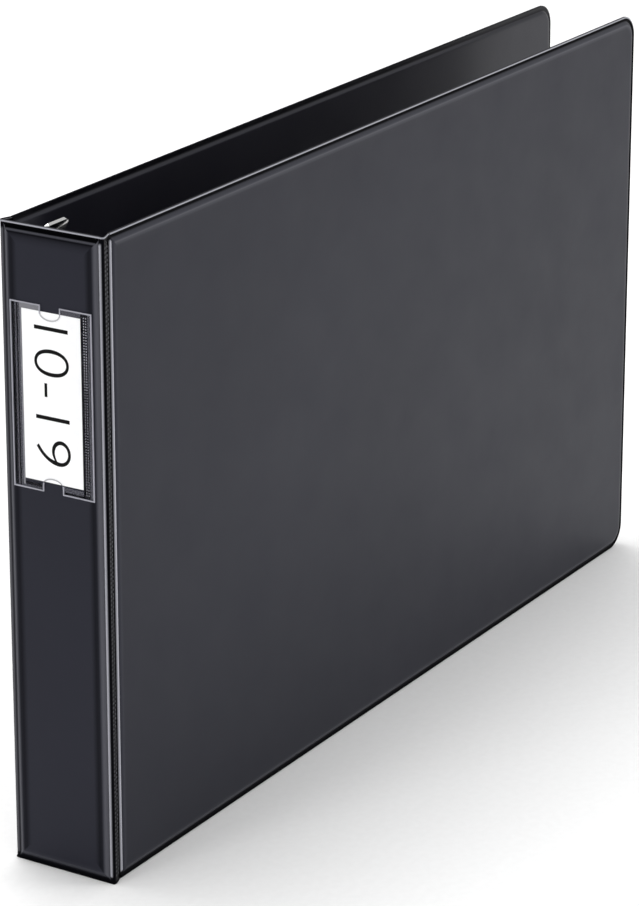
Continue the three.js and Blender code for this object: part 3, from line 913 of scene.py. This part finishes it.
@dataclass
class LabelPocket:
    """The clear pocket on the spine, its card and the numerals on the card. Sizes in millimetres."""

    shelf: Shelf
    numerals: str = "10-19"
    cap_height: float = 18.0
    run: float = 62.0
    ink: float = 0.04
    lift: float = 1.0
    card_edge: float = 0.06
    outline: float = 0.55
    rim_out: float = 0.62
    rim_depth: float = 0.5
    notch: tuple[float, float] = (15.7, 25.7)
    straight: float = 3.1
    arc_depth: float = 3.0
    arc_steps: int = 24
    dot_rows: int = 66
    dot_columns: tuple[float, float] = (37.7, 38.8)
    dot_start: float = 2.0
    dot_pitch: float = 1.22
    dot_size: tuple[float, float] = (0.5, 0.55)
    dot_out: float = 0.12

    def spot(self, across: float, up: float, out: float) -> Vector:
        """Returns the place of a point of the pocket.

        Args:
            across: How far it is from the pocket's left edge.
            up: How far it is over its bottom edge.
            out: How far it is out from the spine.

        Returns:
            The place, in metres.
        """
        low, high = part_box("label_holder")
        return Vector((high.x - out * MM, high.y - across * MM, low.z + up * MM))

    def outline_points(self) -> list[tuple[float, float]]:
        """Returns the pocket's outline, with a thumb notch at the top and at the bottom."""
        low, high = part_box("label_holder")
        width, height = (high.y - low.y) / MM, (high.z - low.z) / MM
        left, right = self.notch
        middle, radius = (left + right) / 2, (right - left) / 2
        turns = [math.pi * i / self.arc_steps for i in range(self.arc_steps + 1)]
        arc = [(middle - radius * math.cos(turn), self.straight + self.arc_depth * math.sin(turn))
               for turn in turns]
        bottom = [(0.0, 0.0), (left, 0.0), *arc, (right, 0.0), (width, 0.0)]
        top = [(x, height - y) for x, y in reversed(bottom)]
        return bottom + top

    def patch(self, bm: bmesh.types.BMesh, box: Sequence[float], out: float, finish: Finish) -> None:
        """Adds one flat face of the pocket.

        Args:
            bm: The mesh it goes into.
            box: Its left, bottom, right and top.
            out: How far it is out from the spine.
            finish: Its finish.
        """
        left, bottom, right, top = box
        corners = [self.spot(x, y, out)
                   for x, y in ((left, bottom), (right, bottom), (right, top), (left, top))]
        face = bm.faces.new([bm.verts.new(corner) for corner in corners])
        face.material_index = FILM_FINISHES.index(finish)

    def film(self) -> None:
        """Makes the pocket: the film, the weld line along its edge, and the bands of painted shade and
        painted reflection beside the card.
        """
        bm = bmesh.new()
        front = bm.faces.new([bm.verts.new(self.spot(x, y, self.rim_out)) for x, y in self.outline_points()])
        bm.normal_update()
        rim = bmesh.ops.inset_region(
            bm, faces=[front], thickness=self.outline * MM, depth=0.0,
            use_even_offset=True, use_boundary=True,
        )["faces"]
        low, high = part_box("label_holder")
        for face in rim:
            spot = face.calc_center_median()
            across = (high.y - spot.y) / MM
            end = min(spot.z - low.z, high.z - spot.z) / MM
            # Over the card the rim gets a grey painted reflection instead of the bright edge
            over_card = self.notch[0] < across < self.notch[1] and end > self.straight
            face.material_index = FILM_FINISHES.index(Finish.FILM_GREY_REFLECTION if over_card else Finish.FILM_EDGE)
        bmesh.ops.extrude_face_region(bm, geom=rim)
        # The film's own face shares the rim's inner points, so it moves in toward the spine with them
        inward = list({vert for face in rim for vert in face.verts})
        bmesh.ops.translate(bm, verts=inward, vec=(self.rim_depth * MM, 0, 0))
        for *box, out, finish in BANDS:
            self.patch(bm, box, out, finish)
        for row in range(self.dot_rows):
            for column in self.dot_columns:
                up = self.dot_start + self.dot_pitch * row
                box = (column, up, column + self.dot_size[0], up + self.dot_size[1])
                self.patch(bm, box, self.dot_out, Finish.FILM_EDGE)
        bmesh.ops.recalc_face_normals(bm, faces=bm.faces)
        for face in bm.faces:
            if face.normal.x > 0.9:
                face.normal_flip()
        finishes = [self.shelf.get(finish) for finish in FILM_FINISHES]
        piece = finished("label_pocket_film", bm, finishes, sharp=30.0)
        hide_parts("label_holder")
        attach(piece, "spine")

    def card(self) -> None:
        """Makes the card with its edges just broken."""
        piece = refined("label_card", "label_card_sheet", self.card_edge * MM, self.shelf.get(Finish.CARD))
        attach(piece, "spine")

    def print_numerals(self) -> None:
        """Prints the numerals, read from top to bottom, as a thin mesh just proud of the card."""
        text = bpy.data.curves.new("label_numerals", "FONT")
        text.body = self.numerals
        text.align_x = "CENTER"
        text.align_y = "CENTER"
        text.extrude = 0.01
        text.offset = -0.02
        mesh = meshed("label_numerals_text", text)
        low = [min(v.co[i] for v in mesh.vertices) for i in range(3)]
        high = [max(v.co[i] for v in mesh.vertices) for i in range(3)]
        centre = Vector([(a + b) / 2 for a, b in zip(low, high)])
        card_low, card_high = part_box("label_card")
        middle = (card_low + card_high) / 2
        sizes = (self.run * MM, self.cap_height * MM, self.ink * MM)
        scale = Matrix.Diagonal((*(size / (b - a) for size, a, b in zip(sizes, low, high)), 1))
        turn = Matrix(((0, 0, -1, 0), (0, -1, 0, 0), (-1, 0, 0, 0), (0, 0, 0, 1)))
        place = Matrix.Translation((card_low.x, middle.y, middle.z + self.lift * MM))
        mesh.transform(place @ turn @ scale @ Matrix.Translation(-centre))
        mesh.materials.clear()
        mesh.materials.append(self.shelf.get(Finish.INK))
        piece = bpy.data.objects.new("label_numerals", mesh)
        bpy.context.scene.collection.objects.link(piece)
        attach(piece, "spine")

    def build(self) -> None:
        """Makes the film, the card and its numerals."""
        self.film()
        self.card()
        self.print_numerals()


# Ring mechanism


# The bends of each ring half in millimetres: across the mechanism from its middle, and over the liner
CURVED_BENDS = (
    ((-4.7, 6.5), (-4.7, 11.975), (-13, 11.975), (-13, 21.45)),
    ((-13, 21.45), (-13, 31.98), (-8.06, 39), (-1.15, 39)),
)
STRAIGHT_BENDS = (((4.7, 33), (4.7, 36.3), (2.4, 39), (-0.85, 39)),)

# The other metal pieces: node, body, width of the broken edges in millimetres, finish and slot
METAL_PIECES: list[tuple[str, str, float, Finish, str]] = [
    ("ring_housing", "back_cover", 0.2, Finish.CHROME, "nickel_steel"),
    ("spine_side_leaf", "spine_side_leaf", 0.12, Finish.BRUSHED, "bright_steel"),
    ("fore_side_leaf", "fore_side_leaf", 0.12, Finish.BRUSHED, "bright_steel"),
    ("bottom_lever", "bottom_lever", 0.6, Finish.CHROME, "nickel_steel"),
    ("top_lever", "top_lever", 0.6, Finish.CHROME, "nickel_steel"),
    ("bottom_lever_pin", "back_cover", 0.15, Finish.BRUSHED, "bright_steel"),
    ("top_lever_pin", "back_cover", 0.15, Finish.BRUSHED, "bright_steel"),
    ("bottom_rivet", "back_cover", 0.25, Finish.CHROME, "rivet_metal"),
    ("top_rivet", "back_cover", 0.25, Finish.CHROME, "rivet_metal"),
]


@dataclass
class RingMechanism:
    """The ring mechanism on the back cover, with three rings of two halves each. In millimetres."""

    shelf: Shelf
    centre: float = -219.875
    liner: float = 22.525
    wire: float = 1.9
    wire_steps: int = 6
    bend_points: int = 28
    levels: dict[str, float] = field(default_factory=lambda: {"bottom": 40.5, "middle": 148.5, "top": 256.5})

    def ring_half(self, which: str, curved: bool) -> None:
        """Sweeps one half of a ring.

        Args:
            which: The ring's name.
            curved: True for the half with the round belly, on the spine's side.
        """
        node = f"{which}_ring_{'curved' if curved else 'straight'}_half"
        foot = self.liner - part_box(node)[1].y / MM
        bends = CURVED_BENDS if curved else STRAIGHT_BENDS
        leg = bends[0][0]
        points = [Vector((leg[0], foot, 0.0)), Vector((*leg, 0.0))]
        for bend in bends:
            points += interpolate_bezier(*[Vector((*p, 0.0)) for p in bend], self.bend_points)[1:]
        curve = bpy.data.curves.new(node, "CURVE")
        curve.dimensions = "3D"
        curve.bevel_depth = self.wire
        curve.bevel_resolution = self.wire_steps
        curve.use_fill_caps = True
        spline = curve.splines.new("POLY")
        spline.points.add(len(points) - 1)
        for target, point in zip(spline.points, points):
            target.co = (point.x, point.y, 0.0, 1.0)
        bm = bmesh.new()
        bm.from_mesh(meshed(node + "_path", curve))
        bmesh.ops.remove_doubles(bm, verts=bm.verts, dist=CLOSE)
        bmesh.ops.recalc_face_normals(bm, faces=bm.faces)
        place = Matrix((
            (1, 0, 0, self.centre),
            (0, -1, 0, self.liner),
            (0, 0, 1, self.levels[which]),
            (0, 0, 0, 1),
        ))
        placed(bm, Matrix.Scale(MM, 4) @ place)
        piece = finished(node + "_wire", bm, [self.shelf.get(Finish.WIRE)], sharp=50.0)
        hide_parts(node)
        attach(piece, "spine_side_leaf" if curved else "fore_side_leaf")

    def build(self) -> None:
        """Makes every piece of the mechanism."""
        for which in self.levels:
            for curved in (True, False):
                self.ring_half(which, curved)
        for node, body, edge, finish, slot in METAL_PIECES:
            piece = refined(node, node + "_metal", edge * MM, self.shelf.get(finish))
            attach(piece, body)


# Studio


# The soft boxes: name, place, the point they face, width and height in metres, and power in watts
SOFT_BOXES = (
    ("overhead", (0.3, 0.7, 2.4), (0.0, 0.0, 0.15), (1.8, 1.8), 42.0),
    ("left", (-2.4, 0.6, 1.5), (-0.24, 0.0, 0.28), (0.6, 1.0), 9.0),
    ("front", (1.0, -1.8, 1.6), (0.15, -0.03, 0.28), (0.9, 0.9), 12.0),
)


@dataclass
class Studio:
    """The pale floor, the soft lights and the camera. Sizes in metres."""

    shelf: Shelf
    eye: tuple[float, float, float] = (-1.4339, -0.8657, 0.7244)
    azimuth: float = 58.383
    pitch: float = 17.644
    lens: float = 144.8
    sensor: float = 36.0
    shift: float = -0.15
    farthest: float = 50.0
    floor_size: float = 9.0
    surround: float = 0.8

    def camera(self) -> None:
        """Sets up the camera of the photograph's view."""
        data = bpy.data.cameras.new("camera")
        data.sensor_fit = "AUTO"
        data.sensor_width = self.sensor
        data.lens = self.lens
        data.shift_y = self.shift
        data.clip_end = self.farthest
        camera = bpy.data.objects.new("camera", data)
        camera.location = self.eye
        camera.rotation_euler = Euler((math.radians(90 - self.pitch), 0.0, math.radians(-self.azimuth)))
        bpy.context.scene.collection.objects.link(camera)
        bpy.context.scene.camera = camera

    def floor(self) -> None:
        """Lays the floor under the binder."""
        bm = bmesh.new()
        bmesh.ops.create_grid(bm, x_segments=1, y_segments=1, size=self.floor_size)
        piece = finished("floor", bm, [self.shelf.get(Finish.FLOOR)], sharp=35.0)

    def light(self, name: str, place: Sequence[float], aim: Sequence[float], size: tuple[float, float],
              power: float) -> None:
        """Hangs one soft box.

        Args:
            name: The light's name.
            place: Where it hangs.
            aim: The point that it faces.
            size: Its width and height.
            power: Its power in watts.
        """
        data = bpy.data.lights.new(name, "AREA")
        data.shape = "RECTANGLE"
        data.size, data.size_y = size
        data.energy = power
        lamp = bpy.data.objects.new(name, data)
        lamp.location = place
        lamp.rotation_euler = (Vector(aim) - Vector(place)).to_track_quat("-Z", "Y").to_euler()
        bpy.context.scene.collection.objects.link(lamp)

    def build(self) -> None:
        """Sets up the camera, the floor, the surroundings and the lights."""
        self.camera()
        self.floor()
        world = bpy.data.worlds.new("studio")
        world.use_nodes = True
        background = world.node_tree.nodes["Background"]
        background.inputs["Color"].default_value = (1.0, 1.0, 1.0, 1.0)
        background.inputs["Strength"].default_value = self.surround
        bpy.context.scene.world = world
        bpy.context.scene.view_settings.view_transform = "Standard"
        for soft_box in SOFT_BOXES:
            self.light(*soft_box)


def carried_over(shelf: Shelf, frame: dict[str, object]) -> None:
    """Gives the boards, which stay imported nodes, their material.

    Args:
        shelf: The materials.
    """
    for name, node in frame["nodes"].items():
        if name.endswith("_board"):
            node.data.materials.clear()
            node.data.materials.append(shelf.get(Finish.CHIPBOARD))


def main() -> None:
    """Builds every class in order and says what was made."""
    logging.basicConfig(level=logging.INFO, format="%(name)s: %(message)s")
    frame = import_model()
    shelf = Shelf()
    steps: list[tuple[str, Callable[[], None]]] = [
        ("studio", Studio(shelf).build),
        ("panels", PanelSet(shelf).build),
        ("front hinge", HingeStrip(shelf, -1).build),
        ("back hinge", HingeStrip(shelf, 1).build),
        ("label pocket", LabelPocket(shelf).build),
        ("ring mechanism", RingMechanism(shelf).build),
        ("boards", lambda: carried_over(shelf, frame)),
    ]
    for name, build in steps:
        build()
        LOG.info("%s made", name)
    bpy.context.view_layer.update()


if __name__ == "__main__":
    main()
